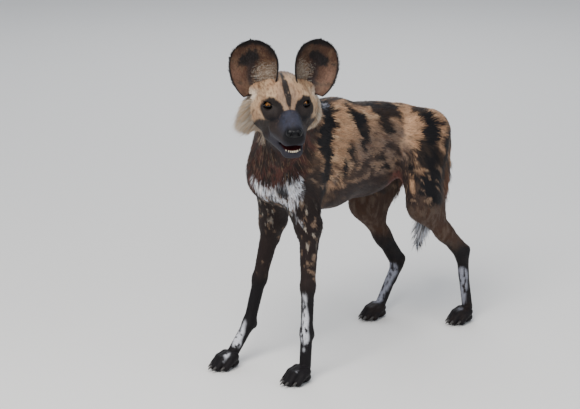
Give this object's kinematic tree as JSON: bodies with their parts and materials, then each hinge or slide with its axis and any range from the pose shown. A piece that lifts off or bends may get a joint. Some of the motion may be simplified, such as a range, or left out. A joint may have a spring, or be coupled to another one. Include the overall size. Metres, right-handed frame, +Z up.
{
  "type": "african wild dog",
  "caption": "Still, life-size African wild dog standing on four feet with its head turned to its left, ears up and mouth a little open.",
  "frame": {"origin": "middle of the model's bounding box in plan, at the level of the soles", "axes": "+Z up, the body runs along Y with the nose end towards -Y before the head turns, and the animal's left side is +X"},
  "size_m": [0.3796, 0.8556, 0.8658],
  "materials": {
    "coat": "short fur in tan, black and white patches",
    "dark_coat": "short to long dark fur",
    "face_coat": "short fur with a pale ruff and a charcoal muzzle",
    "ear": "thinly haired skin with a dark rim",
    "nose": "moist fine-grained skin",
    "eye": "wet amber eye with a black pupil"
  },
  "bodies": {
    "root": {"torso": "coat", "neck": "dark_coat", "head": "face_coat", "lower_jaw": "dark_coat", "nose": "nose", "eye_left": "eye", "eye_right": "eye", "ear_left": "ear", "ear_right": "ear", "tail": "dark_coat", "foreleg_left": "dark_coat", "foreleg_right": "dark_coat", "forepaw_left": "dark_coat", "forepaw_right": "dark_coat", "thigh_left": "coat", "thigh_right": "coat", "shank_left": "dark_coat", "shank_right": "dark_coat", "hindpaw_left": "dark_coat", "hindpaw_right": "dark_coat"}
  },
  "joints": []
}
